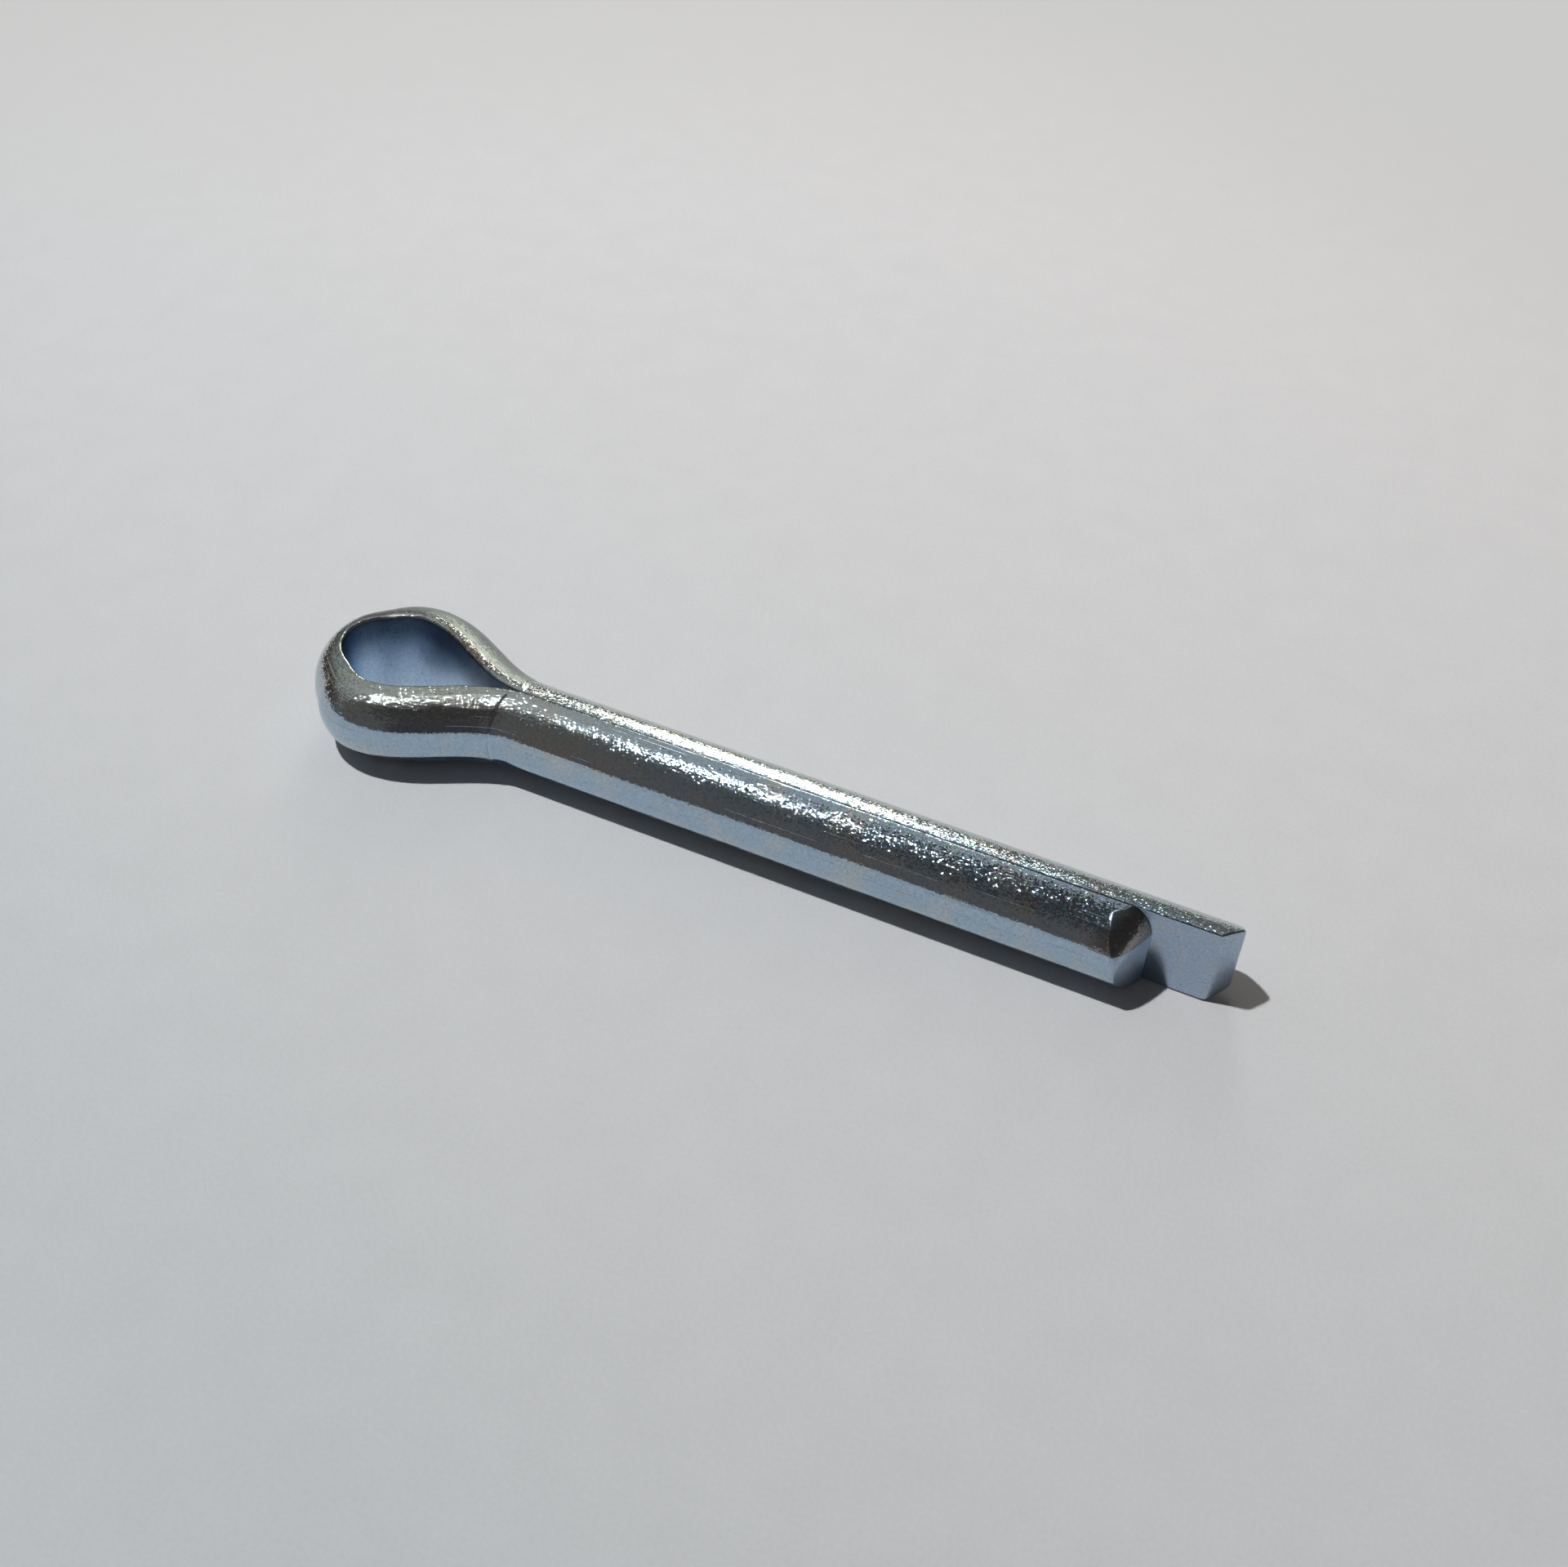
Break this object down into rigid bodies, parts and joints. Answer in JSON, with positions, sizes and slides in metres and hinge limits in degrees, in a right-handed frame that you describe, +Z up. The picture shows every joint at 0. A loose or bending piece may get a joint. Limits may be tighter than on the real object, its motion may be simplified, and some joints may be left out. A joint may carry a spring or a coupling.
{
  "type": "split cotter pin",
  "caption": "Split cotter pin of folded half-round wire: two parallel legs of unequal length close into a round shank below a drop-shaped eye.",
  "frame": {"origin": "on the shank's axis, at the point below the eye where the two legs close", "axes": "+X along the shank towards the tips, +Y across the split towards the long leg, +Z up out of the plane of the eye"},
  "size_m": [0.049, 0.0098, 0.0048],
  "materials": {
    "zinc_plated_steel": "bright zinc plating with a thin bluish, faintly iridescent passivation over drawn steel wire"
  },
  "bodies": {
    "root": {"folded_wire": "zinc_plated_steel"}
  },
  "joints": []
}
